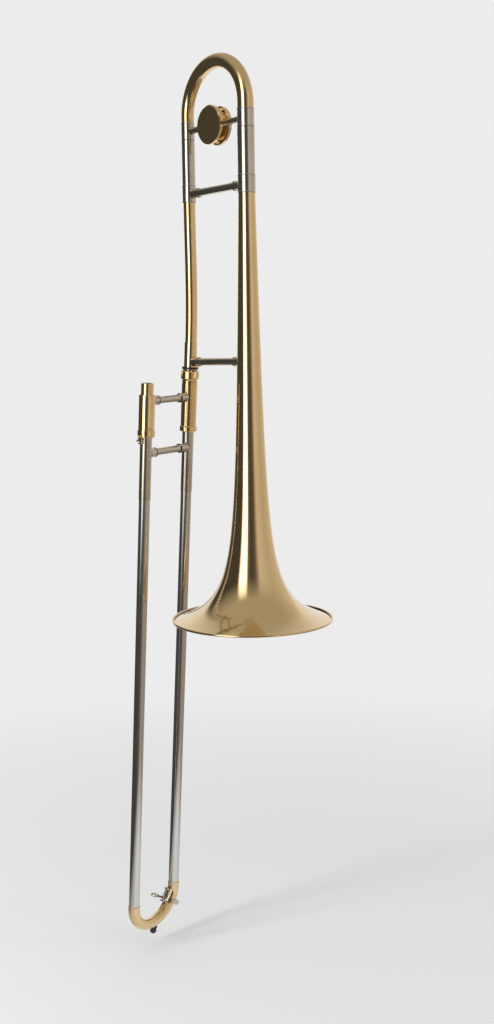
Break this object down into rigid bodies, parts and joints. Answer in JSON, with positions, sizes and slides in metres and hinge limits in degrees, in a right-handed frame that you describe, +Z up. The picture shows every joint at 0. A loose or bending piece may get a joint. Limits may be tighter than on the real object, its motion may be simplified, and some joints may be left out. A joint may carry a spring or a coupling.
{
  "type": "tenor trombone",
  "caption": "tenor trombone with flared bell, tuning slide with counterweight, telescoping hand slide and water key, shown bell down with the hand slide closed",
  "frame": {"origin": "the middle of the bell's mouth, in the plane of its rim, where a stand's peg enters the bell", "axes": "+Z runs up the bell's axis from its mouth, +X runs from the neckpipe's leg to the bell's axis, and +Y completes the right-handed frame, away from the viewer of the picture"},
  "size_m": [0.2962, 0.2032, 1.164],
  "materials": {
    "bell": "polished and lacquered",
    "rim_wire": "turned steel",
    "bell_ferrule": "polished nickel silver",
    "tuning_sleeve_bell": "polished nickel silver",
    "tuning_sleeve_neck": "polished nickel silver",
    "neck_ferrule": "polished nickel silver",
    "gooseneck": "polished and lacquered",
    "neck_receiver": "polished and lacquered",
    "stop_ring": "matte black",
    "upper_brace_rod": "polished nickel silver",
    "upper_brace_socket_neck": "polished nickel silver",
    "upper_brace_socket_bell": "polished nickel silver",
    "lower_brace_rod": "polished nickel silver",
    "lower_brace_socket_neck": "polished nickel silver",
    "lower_brace_socket_bell": "polished nickel silver",
    "lower_brace_flange": "polished nickel silver",
    "tuning_crook": "polished and lacquered",
    "crook_ferrule_bell": "polished nickel silver",
    "crook_ferrule_neck": "polished nickel silver",
    "tuning_leg_bell": "polished nickel silver",
    "tuning_leg_neck": "polished nickel silver",
    "tuning_brace_rod": "polished nickel silver",
    "counterweight_front": "polished and lacquered",
    "counterweight_rear": "polished and lacquered",
    "counterweight_screw_upper": "turned steel",
    "counterweight_screw_lower": "turned steel",
    "lock_nut": "polished and lacquered",
    "slide_tenon": "polished nickel silver",
    "cork_barrel_bell": "polished and lacquered",
    "cork_barrel_mouth": "polished and lacquered",
    "mouthpiece_receiver": "polished and lacquered",
    "leadpipe": "polished and lacquered",
    "inner_tube_bell": "polished plated tube",
    "inner_tube_mouth": "polished plated tube",
    "cork_ring_bell": null,
    "cork_ring_mouth": null,
    "inner_brace_rod": "polished nickel silver",
    "inner_brace_socket_bell": "polished nickel silver",
    "inner_brace_socket_mouth": "polished nickel silver",
    "slide_lock_ring": "polished and lacquered",
    "outer_tube_bell": "polished plated tube",
    "outer_tube_mouth": "polished plated tube",
    "outer_sleeve_bell": "polished plated tube",
    "outer_sleeve_mouth": "polished plated tube",
    "outer_brace_rod": "polished nickel silver",
    "outer_brace_socket_bell": "polished nickel silver",
    "outer_brace_socket_mouth": "polished nickel silver",
    "slide_bow": "polished and lacquered",
    "lock_stud": "polished nickel silver",
    "bumper_peg": "polished nickel silver",
    "bow_bumper": "matte black",
    "key_nipple": "polished and lacquered",
    "key_saddle": "polished nickel silver",
    "key_screw": "turned steel",
    "key_lever": "polished nickel silver",
    "key_cork": null,
    "key_spring": "turned steel"
  },
  "bodies": {
    "bell_section": {"bell": "bell", "rim_wire": "rim_wire", "bell_ferrule": "bell_ferrule", "tuning_sleeve_bell": "tuning_sleeve_bell", "tuning_sleeve_neck": "tuning_sleeve_neck", "neck_ferrule": "neck_ferrule", "gooseneck": "gooseneck", "neck_receiver": "neck_receiver", "stop_ring": "stop_ring", "upper_brace_rod": "upper_brace_rod", "upper_brace_socket_neck": "upper_brace_socket_neck", "upper_brace_socket_bell": "upper_brace_socket_bell", "lower_brace_rod": "lower_brace_rod", "lower_brace_socket_neck": "lower_brace_socket_neck", "lower_brace_socket_bell": "lower_brace_socket_bell", "lower_brace_flange": "lower_brace_flange"},
    "tuning_slide": {"tuning_crook": "tuning_crook", "crook_ferrule_bell": "crook_ferrule_bell", "crook_ferrule_neck": "crook_ferrule_neck", "tuning_leg_bell": "tuning_leg_bell", "tuning_leg_neck": "tuning_leg_neck", "tuning_brace_rod": "tuning_brace_rod", "counterweight_front": "counterweight_front", "counterweight_rear": "counterweight_rear", "counterweight_screw_upper": "counterweight_screw_upper", "counterweight_screw_lower": "counterweight_screw_lower"},
    "lock_nut": {"lock_nut": "lock_nut"},
    "inner_slide": {"slide_tenon": "slide_tenon", "cork_barrel_bell": "cork_barrel_bell", "cork_barrel_mouth": "cork_barrel_mouth", "mouthpiece_receiver": "mouthpiece_receiver", "leadpipe": "leadpipe", "inner_tube_bell": "inner_tube_bell", "inner_tube_mouth": "inner_tube_mouth", "cork_ring_bell": "cork_ring_bell", "cork_ring_mouth": "cork_ring_mouth", "inner_brace_rod": "inner_brace_rod", "inner_brace_socket_bell": "inner_brace_socket_bell", "inner_brace_socket_mouth": "inner_brace_socket_mouth"},
    "slide_lock": {"slide_lock_ring": "slide_lock_ring"},
    "outer_slide": {"outer_tube_bell": "outer_tube_bell", "outer_tube_mouth": "outer_tube_mouth", "outer_sleeve_bell": "outer_sleeve_bell", "outer_sleeve_mouth": "outer_sleeve_mouth", "outer_brace_rod": "outer_brace_rod", "outer_brace_socket_bell": "outer_brace_socket_bell", "outer_brace_socket_mouth": "outer_brace_socket_mouth", "slide_bow": "slide_bow", "lock_stud": "lock_stud", "bumper_peg": "bumper_peg", "bow_bumper": "bow_bumper", "key_nipple": "key_nipple", "key_saddle": "key_saddle", "key_screw": "key_screw"},
    "water_key": {"key_lever": "key_lever", "key_cork": "key_cork", "key_spring": "key_spring"}
  },
  "joints": [
    {"name": "tuning_travel", "type": "slide", "parent": "bell_section", "child": "tuning_slide", "axis": [0, 0, 1], "range_m": [0, 0.05]},
    {"name": "slide_swivel", "type": "hinge", "parent": "bell_section", "child": "inner_slide", "pos_m": [-0.12, 0, 0.33], "axis": [0.0889, 0, 0.996], "range_deg": [-220, 20]},
    {"name": "nut_turn", "type": "hinge", "parent": "inner_slide", "child": "lock_nut", "pos_m": [-0.12, 0, 0.33], "axis": [0.0889, 0, 0.996], "continuous": true},
    {"name": "lock_turn", "type": "hinge", "parent": "inner_slide", "child": "slide_lock", "pos_m": [-0.09437, -0.08415, 0.32771], "axis": [0.0889, 0, 0.996], "range_deg": [-36, 0]},
    {"name": "hand_slide_travel", "type": "slide", "parent": "inner_slide", "child": "outer_slide", "axis": [-0.0889, 0, -0.996], "range_m": [0, 0.6]},
    {"name": "water_key_hinge", "type": "hinge", "parent": "outer_slide", "child": "water_key", "pos_m": [-0.18589, -0.01575, -0.42409], "axis": [0.0787, -0.5062, -0.8588], "range_deg": [0, 22], "stiffness_Nm_per_rad": 0.02, "springref_deg": -20.05}
  ]
}
